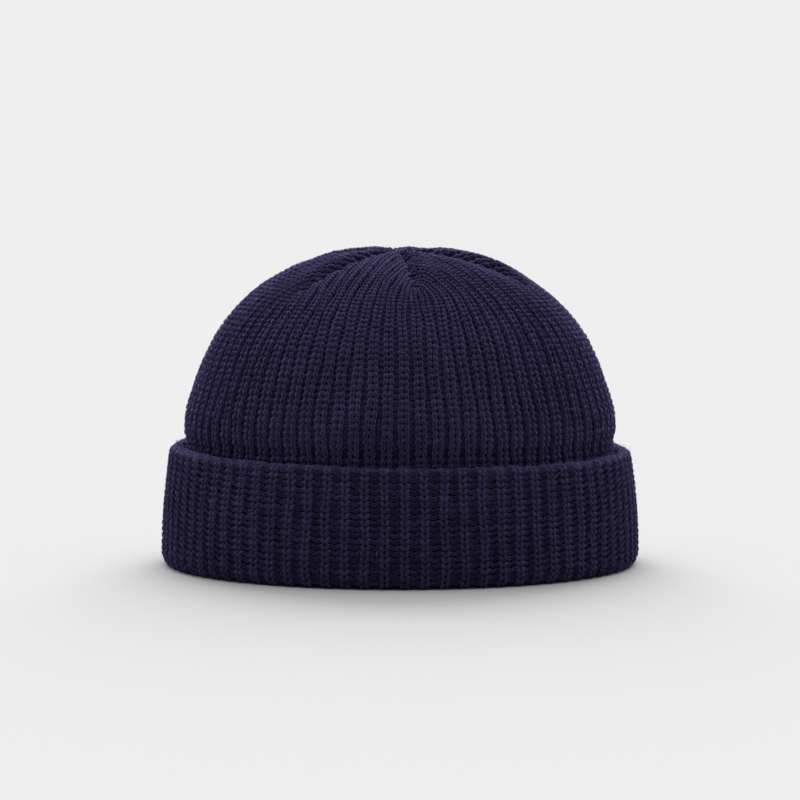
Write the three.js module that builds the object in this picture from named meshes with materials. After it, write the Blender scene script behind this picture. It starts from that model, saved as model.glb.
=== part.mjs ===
// A short fisherman beanie in chunky 1 x 1 rib knit, standing by itself on its bottom fold.
// Millimetres, +Z up. The origin is at the middle of the hat, on the surface that it stands on. The
// front faces -Y, and an angle counts round from the front towards +X.
import * as THREE from "three";

// Driving dimensions
const HAT_HEIGHT = 142; // surface to the crown's outline at the top
const CROWN_WIDTH = 195; // side to side, at its widest just above the cuff
const CROWN_DEPTH = 187; // front to back, at the same height
const WALL = 4; // one layer of knit
const WALL_FLARE = 4.6; // how far the wall leans out on its way down inside the cuff
const HEM_ROUND = 1.2; // inner edge of the wall's bottom
const CUFF_HEIGHT = 56.5; // surface to the top of the cuff, at its highest
const CUFF_THICKNESS = 7.2; // two layers of knit
const CUFF_GAP = 0.3; // between the crown's wall and the cuff round it
const CUFF_BULGE = 0.7; // how far the cuff's face swells between its fold and its top
const FOLD_WIDTH = 4.6; // rounding of the cuff's bottom fold, across
const FOLD_HEIGHT = 8.5; // and up the face
const RIM_DIP = 3; // how much lower the cuff's top is at the front than at the back
const RIM_LEAN = 2.4; // and on the right than on the left
const CROWN_RELIEF = 1.2; // crest of a rib to the gutter beside it, on the crown
const CUFF_RELIEF = 1; // and on the cuff
const SIDE_STRETCH = 0.075; // how much wider than the mean the crown's ribs are at the sides, as a share
const FRONT_DART_TURN = 8; // degrees from the front to the first dart
const DART_REACH = 62; // from where the darts meet out to a dart's start, before the slide, across the width
const TOP_SLIDE = 15; // how far forward of the middle the darts meet
const SLIDE_REACH = 85; // from the middle out to where the ribs no longer slide, across the width
const DART_DEPTH = 1.6; // a dart's seam, below the gutters
const PANEL_RISE = 1.2; // the middle of a panel, above the outline
const LIP_RISE = 0.9; // the edge of a panel that laps over a dart
const PUCKER_DEPTH = 2.2; // dimple where the darts meet

// Segment sizes of the faceted surfaces
const CROWN_STEP = 8.5;
const LINING_STEP = 13;
const CUFF_STEP = 9;
const PLAIN_RIBS = 1; // ribs to a column where the knit is hidden
const LINING_RIBS = 2; // and inside the hollow
const CORNER_TURNS = 3;
const RIM_TURNS = 6;
const HIDDEN_DEPTH = 9; // how far below the cuff's top the crown's ribs fade out
const HALVINGS = 24; // steps in finding a section by its reach

// The crown's outline. rise: share of the height above the cuff. reach: share of half the crown's width.
const CROWN_OUTLINE = [
  { rise: 0.0, reach: 0.991 },
  { rise: 0.065, reach: 1.0 },
  { rise: 0.17, reach: 0.989 },
  { rise: 0.3, reach: 0.953 },
  { rise: 0.43, reach: 0.91 },
  { rise: 0.56, reach: 0.853 },
  { rise: 0.69, reach: 0.766 },
  { rise: 0.8, reach: 0.66 },
  { rise: 0.885, reach: 0.53 },
  { rise: 0.95, reach: 0.385 },
  { rise: 0.985, reach: 0.235 },
  { rise: 0.998, reach: 0.11 },
  { rise: 1.0, reach: 0.0 },
];

// The panels between the darts, from the front dart round to the right. ribs: knit ribs in the panel.
// dart: reach of the dart at the panel's left, as a share of DART_REACH. lap: which edge laps over that
// dart, 1 for this panel's and -1 for its left neighbour's.
const PANELS = [
  { ribs: 14, dart: 0.95, lap: -1 },
  { ribs: 13, dart: 1.02, lap: -1 },
  { ribs: 13, dart: 0.98, lap: 1 },
  { ribs: 13, dart: 1.03, lap: -1 },
  { ribs: 13, dart: 0.96, lap: 1 },
  { ribs: 12, dart: 1.06, lap: 1 },
];

const RIB_COUNT = PANELS.reduce((sum, panel) => sum + panel.ribs, 0);
const RIB_TURN = (2 * Math.PI) / RIB_COUNT;
const HALF_RIB = 0.5; // crest to gutter, in ribs
const DART_FADE = 0.3; // share of a dart's length over which its seam deepens
const SLIVER = 0.3; // a column this close to a seam, in columns, is left out

const halfWidth = CROWN_WIDTH / 2;
const depthRatio = CROWN_DEPTH / CROWN_WIDTH;
const wallTop = CROWN_OUTLINE[0].reach * halfWidth;

const panelAt = (index) => PANELS[(index + PANELS.length) % PANELS.length];
const dartReach = (index) => panelAt(index).dart * DART_REACH;

// Angle of a panel's left dart
function dartTurn(index) {
  const ribs = PANELS.slice(0, index).reduce((sum, panel) => sum + panel.ribs, 0);
  return THREE.MathUtils.degToRad(FRONT_DART_TURN) + ribs * RIB_TURN;
}

// Outer face of the crown's wall at a height inside the cuff
const wallReach = (z) => wallTop + WALL_FLARE * (1 - z / CUFF_HEIGHT);

// Where a rib that is counted evenly round the hat lies on the crown, wider at the sides than in front
const crownTurn = (angle) => angle - (SIDE_STRETCH / 2) * Math.sin(2 * angle);

// A point at an angle: reach follows the crown's oval, and off is the same distance outside it all round
function ringPoint(reach, off, angle, z) {
  const x = (reach + off) * Math.sin(angle);
  const y = -(reach * depthRatio + off) * Math.cos(angle);
  return new THREE.Vector3(x, y, z);
}

// A panel's columns at a reach, in ribs from its middle. Past a dart's start its seam cuts ribs off.
function panelColumns(index, reach, step) {
  const half = PANELS[index].ribs / 2;
  const left = half * Math.min(1, reach / dartReach(index));
  const right = half * Math.min(1, reach / dartReach(index + 1));
  const place = (rib, side) => {
    const turn = rib < 0 ? rib / left : rib / right;
    const angle = dartTurn(index) + (1 + turn) * half * RIB_TURN;
    const crest = Math.abs(((rib + half) % 1) - HALF_RIB) < HALF_RIB / 2;
    return { rib, turn, angle, side, crest: side === 0 && crest };
  };
  const columns = [place(-left, -1)];
  for (let rib = step - half; rib < half; rib += step) {
    if (rib > step * SLIVER - left && rib < right - step * SLIVER) columns.push(place(rib, 0));
  }
  columns.push(place(right, 1));
  return columns;
}

// A body's points and faces, made ring by ring. A ring is a string of points for each panel.
class Shell {
  points = [];
  faces = [];
  last = null;

  add(point) {
    this.points.push(point);
    return this.points.length - 1;
  }

  // The next ring, joined to the one before. A string ends at the first point of the next panel's.
  ring(columnsOf, pointOf) {
    const columns = PANELS.map((panel, index) => columnsOf(index));
    const own = columns.map((list, index) =>
      list.slice(0, -1).map((column) => ({ at: this.add(pointOf(index, column, list)), rib: column.rib })),
    );
    const ring = own.map((string, index) => {
      const end = own[(index + 1) % own.length][0].at;
      return [...string, { at: end, rib: columns[index].at(-1).rib }];
    });
    this.join(ring);
    return ring;
  }

  // A point that closes the ring before it, or from which the next ring opens
  pole(point, closes) {
    const at = this.add(point);
    const ring = PANELS.map(() => [{ at, rib: 0 }]);
    if (!closes) this.last = null;
    this.join(ring);
  }

  // Faces from the ring before to this one, panel by panel, in the order of the ribs
  join(ring) {
    const before = this.last;
    this.last = ring;
    if (!before) return;
    ring.forEach((upper, index) => {
      const lower = before[index];
      let i = 0;
      let j = 0;
      while (i < lower.length - 1 || j < upper.length - 1) {
        const upperEnds = j === upper.length - 1;
        if (upperEnds || (i < lower.length - 1 && lower[i + 1].rib <= upper[j + 1].rib)) {
          this.faces.push(lower[i].at, lower[i + 1].at, upper[j].at);
          i += 1;
        } else {
          this.faces.push(lower[i].at, upper[j + 1].at, upper[j].at);
          j += 1;
        }
      }
    });
  }

  geometry() {
    const geometry = new THREE.BufferGeometry();
    geometry.setFromPoints(this.points);
    geometry.setIndex(this.faces);
    geometry.computeVertexNormals();
    return geometry;
  }
}

const crownCurve = new THREE.SplineCurve(
  CROWN_OUTLINE.map(({ rise, reach }) => {
    return new THREE.Vector2(reach * halfWidth, CUFF_HEIGHT + rise * (HAT_HEIGHT - CUFF_HEIGHT));
  }),
);

// A section of the crown at a share of its outline's length from the cuff up, with the way that it faces
function crownSection(share) {
  const at = crownCurve.getPointAt(share);
  const along = crownCurve.getTangentAt(share);
  return { reach: at.x, z: at.y, outX: along.y, outZ: -along.x };
}

// Evenly spaced sections, the top's own left out
function crownSections(step) {
  const count = Math.ceil(crownCurve.getLength() / step);
  return Array.from({ length: count }, (unused, i) => crownSection(i / count));
}

// The section at a reach, above the crown's widest place
function sectionAt(reach) {
  let low = 0;
  let high = 1;
  for (let i = 0; i < HALVINGS; i++) {
    const share = (low + high) / 2;
    if (crownCurve.getPointAt(share).x > reach) low = share;
    else high = share;
  }
  return crownSection(high);
}

// A point off a section at an angle. Above the widest place it slides forward over the dome, most at the top.
function domePoint(section, angle, off) {
  const held = Math.min(1, section.reach / SLIDE_REACH);
  const slide = section.outZ > 0 ? TOP_SLIDE * (1 - held ** 2) ** 2 : 0;
  const sideways = section.reach * Math.sin(angle);
  const forward = section.reach * Math.cos(angle) + slide / depthRatio;
  const place = slide > 0 ? sectionAt(Math.hypot(sideways, forward)) : section;
  return ringPoint(place.reach, off * place.outX, Math.atan2(sideways, forward), place.z + off * place.outZ);
}

// How far the crown's surface stands off its outline: its ribs, its panels' rise and their darts
function crownRelief(index, column, reach, columns) {
  const dart = dartReach(column.turn < 0 ? index : index + 1);
  const depth = THREE.MathUtils.smoothstep(dart - reach, 0, dart * DART_FADE);
  const rise = PANEL_RISE * depth * (1 - column.turn ** 2);
  const seam = column.side === 0 ? 0 : DART_DEPTH * depth;
  const overLeft = column === columns[1] && panelAt(index).lap > 0;
  const overRight = column === columns.at(-2) && panelAt(index + 1).lap < 0;
  const lip = overLeft || overRight ? LIP_RISE * depth : 0;
  return rise - seam + lip - (column.crest ? 0 : CROWN_RELIEF);
}

// The crown: the wall inside the cuff, the ribbed dome up to the pucker, and the plain inner face back down
function makeCrown() {
  const shell = new Shell();
  const plain = (index) => panelColumns(index, Infinity, PLAIN_RIBS);
  const inner = (index) => panelColumns(index, Infinity, LINING_RIBS);
  const level = (reach, z) => (index, column) => ringPoint(reach, 0, crownTurn(column.angle), z);
  const fadeHeight = CUFF_HEIGHT - HIDDEN_DEPTH;
  const bottom = shell.ring(plain, level(wallReach(0), 0));
  shell.ring(plain, level(wallReach(fadeHeight), fadeHeight));
  for (const section of crownSections(CROWN_STEP)) {
    const columnsOf = (index) => panelColumns(index, section.reach, HALF_RIB);
    shell.ring(columnsOf, (index, column, columns) => {
      const off = crownRelief(index, column, section.reach, columns);
      return domePoint(section, crownTurn(column.angle), off);
    });
  }
  const top = crownSection(1);
  shell.pole(domePoint(top, 0, -PUCKER_DEPTH), true);
  shell.pole(domePoint(top, 0, -PUCKER_DEPTH - WALL), false);
  for (const section of crownSections(LINING_STEP).reverse()) {
    shell.ring(inner, (index, column) => domePoint(section, crownTurn(column.angle), -WALL));
  }
  shell.ring(inner, level(wallReach(HEM_ROUND) - WALL, HEM_ROUND));
  shell.ring(plain, level(wallReach(0) - WALL + HEM_ROUND, 0));
  shell.join(bottom);
  return shell.geometry();
}

// Height of the cuff's top at an angle
function rimHeight(angle) {
  const dip = (RIM_DIP * (1 + Math.cos(angle))) / 2;
  const lean = (RIM_LEAN * (1 + Math.sin(angle))) / 2;
  return CUFF_HEIGHT - dip - lean;
}

// The cuff's section, once round. Each station gives, at a rim height, how far out and up it is, the way
// it faces, and ribbed, the share of the relief that it has.
function cuffStations() {
  const roll = CUFF_THICKNESS / 2;
  const foldWidth = Math.min(FOLD_WIDTH, CUFF_THICKNESS - HEM_ROUND);
  const faceSteps = Math.ceil((CUFF_HEIGHT - FOLD_HEIGHT - roll) / CUFF_STEP);
  const stations = [() => ({ out: 0, z: 0, outX: 0, outZ: -1, ribbed: 0 })];
  for (let i = 0; i < CORNER_TURNS; i++) {
    const turn = (i / CORNER_TURNS) * (Math.PI / 2);
    const out = CUFF_THICKNESS - foldWidth * (1 - Math.sin(turn));
    const z = FOLD_HEIGHT * (1 - Math.cos(turn));
    stations.push(() => ({ out, z, outX: Math.sin(turn), outZ: -Math.cos(turn), ribbed: Math.sin(turn) }));
  }
  for (let i = 0; i < faceSteps; i++) {
    const share = i / faceSteps;
    const out = CUFF_THICKNESS + CUFF_BULGE * Math.sin(share * Math.PI);
    const height = (rim) => FOLD_HEIGHT + share * (rim - roll - FOLD_HEIGHT);
    stations.push((rim) => ({ out, z: height(rim), outX: 1, outZ: 0, ribbed: 1 }));
  }
  for (let i = 0; i <= RIM_TURNS; i++) {
    const turn = (i / RIM_TURNS) * Math.PI;
    const outX = Math.cos(turn);
    const outZ = Math.sin(turn);
    const out = roll + roll * outX;
    const ribbed = (1 + outX) / 2;
    stations.push((rim) => ({ out, z: rim - roll + roll * outZ, outX, outZ, ribbed }));
  }
  return stations;
}

// The cuff: a thick band round the crown's wall, with a rolled top and a rounded fold below
function makeCuff() {
  const shell = new Shell();
  let first = null;
  for (const station of cuffStations()) {
    const ribbed = station(CUFF_HEIGHT).ribbed > 0;
    const columnsOf = (index) => panelColumns(index, Infinity, ribbed ? HALF_RIB : PLAIN_RIBS);
    const ring = shell.ring(columnsOf, (index, column) => {
      const { out, z, outX, outZ, ribbed: share } = station(rimHeight(column.angle));
      const relief = column.crest ? 0 : -CUFF_RELIEF * share;
      return ringPoint(wallReach(z), CUFF_GAP + out + relief * outX, column.angle, z + relief * outZ);
    });
    first ??= ring;
  }
  shell.join(first);
  return shell.geometry();
}

const knit = (color) => new THREE.MeshStandardMaterial({ color, roughness: 0.95, metalness: 0 });

const crown = new THREE.Mesh(makeCrown(), knit(0x2e2b45));
crown.name = "crown";

const cuff = new THREE.Mesh(makeCuff(), knit(0x2a283f));
cuff.name = "cuff";

const beanie = new THREE.Group();
beanie.add(crown, cuff);

export default beanie;
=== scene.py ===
import math
from functools import partial

import bpy
import numpy as np
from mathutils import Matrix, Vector


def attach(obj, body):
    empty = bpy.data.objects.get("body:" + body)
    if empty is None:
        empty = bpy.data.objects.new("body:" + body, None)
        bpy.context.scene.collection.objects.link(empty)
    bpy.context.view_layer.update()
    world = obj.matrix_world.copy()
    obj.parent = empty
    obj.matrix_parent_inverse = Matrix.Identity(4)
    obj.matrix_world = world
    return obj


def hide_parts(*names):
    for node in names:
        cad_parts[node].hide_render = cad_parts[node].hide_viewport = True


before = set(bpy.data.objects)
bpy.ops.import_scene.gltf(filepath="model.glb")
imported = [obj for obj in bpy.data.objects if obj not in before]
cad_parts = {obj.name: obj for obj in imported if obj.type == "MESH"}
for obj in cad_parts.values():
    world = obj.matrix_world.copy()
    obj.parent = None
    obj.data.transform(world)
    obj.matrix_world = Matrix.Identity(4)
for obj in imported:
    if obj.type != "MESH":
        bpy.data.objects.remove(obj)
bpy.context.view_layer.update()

mm = 0.001

# Form of the hat, in metres. The front faces -Y and angles count round from it towards +X.
hatForm = {
    "height": 142 * mm,
    "crownWidth": 195 * mm,
    "crownDepth": 187 * mm,
    "wallFlare": 4.6 * mm,       # lean of the wall inside the cuff
    "sideStretch": 0.075,        # the crown's ribs are wider at the sides than in front
    "cuffHeight": 56.5 * mm,
    "cuffThickness": 7.2 * mm,
    "cuffGap": 0.3 * mm,
    "cuffBulge": 0.7 * mm,
    "foldWidth": 4.6 * mm,
    "foldHeight": 8.5 * mm,
    "rimDip": 3 * mm,            # the cuff's top is lower in front
    "rimLean": 2.4 * mm,         # and on the right
    "topSlide": 15 * mm,         # how far forward of the middle the darts meet
    "slideReach": 85 * mm,       # and how far out from the middle the ribs still slide
}

# Rise above the cuff and reach, as shares of the height there and of half the crown's width
crownOutline = [
    (0.0, 0.991), (0.065, 1.0), (0.17, 0.989), (0.3, 0.953), (0.43, 0.91), (0.56, 0.853), (0.69, 0.766),
    (0.8, 0.66), (0.885, 0.53), (0.95, 0.385), (0.985, 0.235), (0.998, 0.11), (1.0, 0.0),
]
# How finely the sections are worked out, in steps
lineSteps = {"wall": 60, "dome": 40, "fold": 24, "face": 60, "rim": 40, "tail": 10}

# Darts gather the top into panels, listed from the front dart round to the right. Each dart is the one at
# its panel's left, and lap says which edge lies over it, 1 for this panel's and -1 for its neighbour's. The
# other edge is tucked in, by its share of the depth. The front three show most.
dartForm = {
    "turn": math.radians(8),
    "reach": 62 * mm,
    "bend": 0.12,                # how softly the ribs turn into the panels
    "fade": 0.3,                 # the dart's relief fades over this share of its reach
    "leastShare": 0.004,         # of a panel's ribs, left at the very top
    "lipOver": 1.5,              # how soon a lip rises on the way from the panel's middle to its seam
    "apexCalm": 12 * mm,         # the lips die away within this reach of the middle of the top
    "seamDepth": 1.3 * mm,
    "seamWidth": 1.3 * mm,
    "panelRise": 1.2 * mm,
    "lipRise": 0.5 * mm,         # of the edge that lies over, whose corner is round
    "lipWidth": 3.4 * mm,
    "lipMiddle": 3.4 * mm,       # from the seam to the lip's highest place
    "sagDepth": 1.0 * mm,
    "sagWidth": 8 * mm,
    "tuckDepth": 3.6 * mm,       # of the edge that lies under, a steep wall
    "tuckWidth": 3.4 * mm,
    "bulgeRise": 1.1 * mm,       # and beyond it
    "bulgeWidth": 4.5 * mm,
    "bulgeMiddle": 8.5 * mm,
    "puckerDepth": 3.4 * mm,
    "puckerWidth": 4.2 * mm,
}
panels = [
    {"ribs": 14, "dart": 0.95, "lap": -1, "tuck": 1.1},
    {"ribs": 13, "dart": 1.02, "lap": -1, "tuck": 1.25},
    {"ribs": 13, "dart": 0.98, "lap": 1, "tuck": 0.5},
    {"ribs": 13, "dart": 1.03, "lap": -1, "tuck": 0.55},
    {"ribs": 13, "dart": 0.96, "lap": 1, "tuck": 0.5},
    {"ribs": 12, "dart": 1.06, "lap": 1, "tuck": 1.15},
]
ribCount = sum(panel["ribs"] for panel in panels)
ribTurn = 2 * math.pi / ribCount
halfWidth = hatForm["crownWidth"] / 2
depthRatio = hatForm["crownDepth"] / hatForm["crownWidth"]
wallTop = crownOutline[0][1] * halfWidth
cuffTop = hatForm["cuffHeight"]


def bell(x, width):
    return np.exp(-((x / width) ** 2))


def smooth(x):
    x = np.clip(x, 0, 1)
    return x * x * (3 - 2 * x)


def lengthsOf(rows):
    return np.linalg.norm(rows, axis=1)


def unit(rows):
    return rows / lengthsOf(rows)[:, None]


def lengthsAlong(line):
    return np.concatenate([[0], np.cumsum(lengthsOf(np.diff(line, axis=0)))])


def unevenness(around, along, rows):
    # Slow waves over the cloth, whole ones round it: times round, length up it, phase and share
    total = 0
    for times, length, phase, share in rows:
        total = total + share * np.sin(times * ribTurn * around + along / length + phase)
    return total


def ribsBefore(index):
    return sum(panel["ribs"] for panel in panels[:index])


def wallReach(z):
    return wallTop + hatForm["wallFlare"] * (1 - z / cuffTop)


def curveThrough(rows, steps):
    # Catmull-Rom curve, densely sampled
    points = np.array([rows[0], *rows, rows[-1]])
    t = np.linspace(0, 1, steps, endpoint=False)[:, None]
    spans = []
    for a, b, c, d in zip(points, points[1:], points[2:], points[3:]):
        start = (c - a) / 2
        end = (d - b) / 2
        cubic = 2 * b - 2 * c + start + end
        square = 3 * c - 3 * b - 2 * start - end
        spans.append(cubic * t**3 + square * t**2 + start * t + b)
    return np.vstack(spans + [points[-1:]])


def arcTable(line):
    # Lengths along a line in the plane, and the way its left side faces
    along = unit(np.gradient(line, axis=0))
    s = lengthsAlong(line)
    return {"s": s, "a": line[:, 0], "b": line[:, 1], "outA": along[:, 1], "outB": -along[:, 0]}


def lookUp(table, s, names):
    return [np.interp(s, table["s"], table[name]) for name in names]


# The crown's section from the surface up to the middle of the top, with s = 0 at the cuff's top
rise = hatForm["height"] - cuffTop
domeRows = [(reach * halfWidth, cuffTop + up * rise) for up, reach in crownOutline]
domeLine = curveThrough(domeRows, lineSteps["dome"])
wallHeights = np.linspace(0, cuffTop, lineSteps["wall"], endpoint=False)
wallLine = np.column_stack([wallReach(wallHeights), wallHeights])
crownSection = arcTable(np.vstack([wallLine, domeLine]))
crownSection["s"] -= np.interp(cuffTop, crownSection["b"], crownSection["s"])
crownLength = crownSection["s"][-1]
widest = int(np.argmax(crownSection["a"] * (crownSection["s"] > 0)))


def reachAt(s):
    return np.interp(s, crownSection["s"], crownSection["a"])


def lengthAt(reach, start=widest):
    # Length up the section where it has a reach, above its widest place unless told otherwise
    return np.interp(-reach, -crownSection["a"][start:], crownSection["s"][start:])


def dartReach(index):
    return panels[index % len(panels)]["dart"] * dartForm["reach"]


def dartTurn(index):
    return dartForm["turn"] + ribsBefore(index) * ribTurn


def seamLimit(index, rib, reach):
    # Ribs from the panel's middle to its seam. It is half the panel below the dart and shrinks above it.
    half = panels[index]["ribs"] / 2
    dart = np.where(rib < 0, dartReach(index), dartReach(index + 1))
    x = reach / dart
    bend = dartForm["bend"]
    mix = np.clip(0.5 + (1 - x) / (2 * bend), 0, 1)
    share = 1 + (x - 1) * mix - bend * mix * (1 - mix)
    return half * np.maximum(share, dartForm["leastShare"]), dart


# How the ribs and rows stray from even places. Each row of waves is as unevenness takes it.
strayForm = {
    "sideways": 0.42 * mm,
    "along": 0.5 * mm,
    "height": 0.3 * mm,
    "topCalm": 30 * mm,          # they come to rest over this length below the middle of the top
    "foldStart": 2 * mm,         # and over this stretch of the cuff's fold
    "foldCalm": 12 * mm,
    "leastReach": 10 * mm,       # nearer the middle of the top the turns grow no more
    "ribWaves": [
        (5, 0.011, 0.3, 0.5), (13, -0.008, 2.1, 0.45), (27, 0.0062, 4.4, 0.4), (37, 0.0047, 1.0, 0.35),
    ],
    "rowWaves": [(4, 0.017, 1.7, 0.6), (9, -0.013, 0.2, 0.5), (21, 0.0071, 3.0, 0.3)],
    "heightWaves": [(3, 0.014, 0.9, 0.6), (8, -0.012, 5.1, 0.5), (17, 0.009, 2.6, 0.4)],
}


def slidForward(s, reach, angle):
    # The ribs and darts slide forward over the dome, most at the top. Gives a place's new length, reach
    # and angle.
    upper = s > crownSection["s"][widest]
    held = np.minimum(reach / hatForm["slideReach"], 1)
    slide = np.where(upper, hatForm["topSlide"] * (1 - held**2) ** 2, 0)
    sideways = reach * np.sin(angle)
    forward = reach * np.cos(angle) + slide / depthRatio
    newReach = np.hypot(sideways, forward)
    return np.where(slide > 0, lengthAt(newReach), s), newReach, np.arctan2(sideways, forward)


def dartRelief(index, rib, reach, limit, dart, turn):
    # How high the cloth stands by the darts: over or under a lip, in at the seam, and full between seams
    neighbour = panels[(index + 1) % len(panels)]
    depth = smooth((dart - reach) / (dart * dartForm["fade"]))
    inside = np.maximum(limit - np.abs(rib), 0) * dart * ribTurn
    lap = np.where(rib < 0, panels[index]["lap"], -neighbour["lap"])
    tuck = np.where(rib < 0, panels[index]["tuck"], neighbour["tuck"])
    over = dartForm["lipRise"] * bell(inside - dartForm["lipMiddle"], dartForm["lipWidth"])
    over = over - dartForm["sagDepth"] * bell(inside, dartForm["sagWidth"])
    under = dartForm["bulgeRise"] * bell(inside - dartForm["bulgeMiddle"], dartForm["bulgeWidth"])
    under = under - dartForm["tuckDepth"] * bell(inside, dartForm["tuckWidth"])
    lip = tuck * np.where(lap > 0, over, under)
    lip = lip * smooth(dartForm["lipOver"] * np.abs(turn)) * smooth(reach / dartForm["apexCalm"])
    seam = -dartForm["seamDepth"] * bell(inside, dartForm["seamWidth"])
    swell = dartForm["panelRise"] * (1 - turn**2)
    return depth * (lip + seam + swell)


def crownPoint(index, rib, s, off=0.0):
    # A point on a panel: ribs from its middle, length up the section, and height off the surface
    half = panels[index]["ribs"] / 2
    place = ribsBefore(index) + half + rib
    calm = smooth((crownLength - s) / strayForm["topCalm"])
    s = s + calm * strayForm["along"] * unevenness(place, s, strayForm["rowWaves"])
    reach = reachAt(s)
    limit, dart = seamLimit(index, rib, reach)
    turn = np.clip(rib / limit, -1, 1)
    angle = dartTurn(index) + (1 + turn) * half * ribTurn
    angle = angle - hatForm["sideStretch"] / 2 * np.sin(2 * angle)
    stray = calm * strayForm["sideways"] * unevenness(place, s, strayForm["ribWaves"])
    angle = angle + stray / np.maximum(reach, strayForm["leastReach"])
    off = off + calm * strayForm["height"] * unevenness(place, s, strayForm["heightWaves"])
    height = off + dartRelief(index, rib, reach, limit, dart, turn)
    pucker = dartForm["puckerDepth"] * bell(reach, dartForm["puckerWidth"])
    s, reach, angle = slidForward(s, reach, angle)
    z, outX, outZ = lookUp(crownSection, s, ("b", "outA", "outB"))
    x = (reach + height * outX) * np.sin(angle)
    y = -(reach * depthRatio + height * outX) * np.cos(angle)
    return np.stack(np.broadcast_arrays(x, y, z + height * outZ - pucker), axis=-1)


# The cuff's section: out from the hem across the underside, round the fold, up the face and over the top
def cuffLine():
    thick = hatForm["cuffThickness"]
    low = hatForm["foldHeight"]
    roll = thick / 2
    rimBase = cuffTop - roll
    turns = np.linspace(0, math.pi / 2, lineSteps["fold"], endpoint=False)
    fold = np.column_stack([
        thick - hatForm["foldWidth"] * (1 - np.sin(turns)),
        low * (1 - np.cos(turns)),
    ])
    share = np.linspace(0, 1, lineSteps["face"], endpoint=False)
    face = np.column_stack([
        thick + hatForm["cuffBulge"] * np.sin(share * math.pi),
        low + share * (rimBase - low),
    ])
    turns = np.linspace(0, math.pi, lineSteps["rim"])
    rim = np.column_stack([roll + roll * np.cos(turns), rimBase + roll * np.sin(turns)])
    tail = np.linspace(rimBase - 1 * mm, 20 * mm, lineSteps["tail"])   # hidden behind the band
    return np.vstack([[0, 0], fold, face, rim, np.column_stack([0 * tail, tail])])


cuffSection = arcTable(cuffLine())
# Length round it to where the rim has turned down
cuffRim = cuffSection["s"][lineSteps["fold"] + lineSteps["face"] + lineSteps["rim"]]


def cuffPoint(rib, s, off=0.0):
    # A point on the cuff: ribs round from the front dart, length round the section, height off the surface
    out, z, outX, outZ = lookUp(cuffSection, s, ("a", "b", "outA", "outB"))
    angle = dartForm["turn"] + rib * ribTurn
    drop = hatForm["rimDip"] * (1 + np.cos(angle)) / 2 + hatForm["rimLean"] * (1 + np.sin(angle)) / 2
    low = hatForm["foldHeight"]
    z = z - drop * np.maximum(z - low, 0) / (cuffTop - low)
    reach = wallReach(z)
    shown = smooth((s - strayForm["foldStart"]) / strayForm["foldCalm"])
    angle = angle + shown * strayForm["sideways"] * unevenness(rib, s, strayForm["ribWaves"]) / (reach + out)
    off = off + shown * strayForm["height"] * unevenness(rib, s, strayForm["heightWaves"])
    out = out + hatForm["cuffGap"] + off * outX
    x = (reach + out) * np.sin(angle)
    y = -(reach * depthRatio + out) * np.cos(angle)
    return np.stack(np.broadcast_arrays(x, y, z + off * outZ), axis=-1)


# Knit stitches. Lengths are of one stitch as modelled, and the points below scale it to its place.
crownStitch = {
    "rowPitch": 2.88 * mm,
    "legGap": 1.42 * mm,         # from the rib's middle to a leg's
    "legLean": 0.62 * mm,
    "legRadius": 1.22 * mm,
    "legOverlap": 1.16,          # a leg's length, in rows
    "legArch": 1.0 * mm,
    "purlRadius": 0.84 * mm,
    "purlSag": 0.75,             # how far its middle bows, in rows
    "purlArch": 0.6 * mm,
    "purlInto": 0.45 * mm,       # how far its ends reach in behind the legs
    "purlTonesWithPaintedShade": (0.1, 0.6),     # lower than the knit stitches' tones: painted shade in the gutters
}
cuffStitch = {
    "rowPitch": 2.88 * mm,
    "legGap": 1.06 * mm,
    "legLean": 0.56 * mm,
    "legRadius": 0.9 * mm,
    "legOverlap": 1.0,
    "legArch": 1.3 * mm,
    "purlRadius": 0.62 * mm,
    "purlSag": 0.88,
    "purlArch": 0.5 * mm,
    "purlInto": 0.55 * mm,
    # lower still than on the crown: painted shade in the cuff's gutters
    "purlTonesWithPaintedShade": (-0.4, 0.3),
}
knitTones = (0.45, 1)
purlHalf = 1 * mm                # half a purl stitch's width as modelled
# Where the rings of a leg and of a purl bump lie along it, and their share of its radius
legRings = [(0, 0), (0.09, 0.58), (0.36, 0.95), (0.66, 1.0), (0.91, 0.7), (1, 0)]
purlRings = [(-1.0, 0), (-0.88, 0.78), (-0.4, 1.0), (0.0, 1.0), (0.4, 1.0), (0.88, 0.78), (1.0, 0)]
legFlatness = 0.92
purlFlatness = 0.9


def tubeAlong(path, radii, flat, sides):
    # A closed, tapering tube along a path that lies in the cloth: rings, and a point at each end.
    # Its UV map holds millimetres round it, from the hidden side, and along it.
    path = np.array(path)
    along = unit(np.gradient(path, axis=0))
    across = unit(np.cross(along, (0, 0, 1)))
    up = np.cross(across, along)
    length = lengthsAlong(path) / mm
    girth = 2 * math.pi * max(radii) / mm
    verts = [path[0]]
    for i in range(1, len(path) - 1):
        for k in range(sides):
            a = 2 * math.pi * k / sides - math.pi / 2
            verts.append(path[i] + radii[i] * (math.cos(a) * across[i] + flat * math.sin(a) * up[i]))
    verts.append(path[-1])
    last = len(verts) - 1
    faces, uvs = [], []
    rings = len(path) - 2
    for k in range(sides):
        n = (k + 1) % sides
        u0 = girth * k / sides
        u1 = girth * (k + 1) / sides
        faces.append((0, 1 + n, 1 + k))
        uvs.append([((u0 + u1) / 2, length[0]), (u1, length[1]), (u0, length[1])])
        for i in range(rings - 1):
            low = 1 + i * sides
            faces.append((low + k, low + n, low + sides + n, low + sides + k))
            uvs.append([(u0, length[i + 1]), (u1, length[i + 1]), (u1, length[i + 2]), (u0, length[i + 2])])
        top = 1 + (rings - 1) * sides
        faces.append((top + k, top + n, last))
        uvs.append([(u0, length[-2]), (u1, length[-2]), ((u0 + u1) / 2, length[-1])])
    return verts, faces, uvs


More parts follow.
